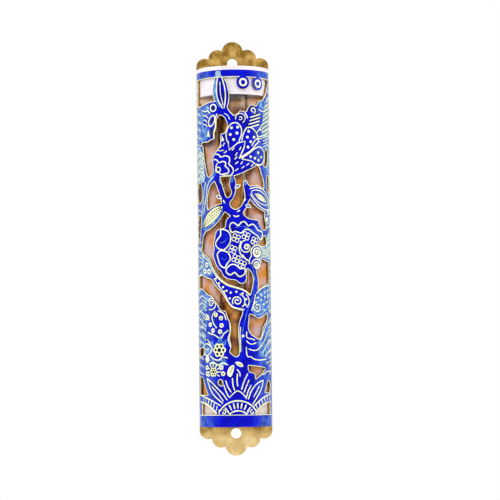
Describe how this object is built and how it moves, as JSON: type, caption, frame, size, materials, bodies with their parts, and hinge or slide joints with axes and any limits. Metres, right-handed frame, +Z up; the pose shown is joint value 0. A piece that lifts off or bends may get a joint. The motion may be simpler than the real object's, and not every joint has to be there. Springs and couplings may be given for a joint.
{
  "type": "mezuzah case",
  "caption": "Half-round pierced and enamelled brass cover on a scalloped back plate with nail holes, holding a clear scroll tube between plastic end plugs.",
  "frame": {"origin": "centre of the back plate's rear face, midway between the nail holes", "axes": "+Z up the case towards the flanged plug, +Y into the door post, -Y out of the front, +X to the viewer's right"},
  "size_m": [0.026, 0.0139, 0.1488],
  "materials": {
    "plate_brass": "polished, lightly scratched",
    "cover_brass": "bright pale lines",
    "solder": "dull",
    "blue_enamel": "opaque glossy enamel",
    "white_plastic": "smooth moulded",
    "clear_plastic": "clear tube"
  },
  "bodies": {
    "case": {"back_plate": "plate_brass", "front_cover": "cover_brass", "solder_seams": "solder", "upper_band_enamel": "blue_enamel", "small_birds_enamel": "blue_enamel", "great_bird_enamel": "blue_enamel", "branch_enamel": "blue_enamel", "flower_enamel": "blue_enamel", "lower_birds_enamel": "blue_enamel", "trunk_enamel": "blue_enamel", "fan_enamel": "blue_enamel", "lower_band_enamel": "blue_enamel"},
    "scroll_insert": {"top_plug": "white_plastic", "scroll_tube": "clear_plastic"},
    "lower_plug": {"bottom_plug": "white_plastic"}
  },
  "joints": [
    {"name": "insert_slide", "type": "slide", "parent": "case", "child": "scroll_insert", "axis": [0, 0, 1], "range_m": [0, 0.124]},
    {"name": "lower_plug_slide", "type": "slide", "parent": "case", "child": "lower_plug", "axis": [0, 0, -1], "range_m": [0, 0.02]}
  ]
}
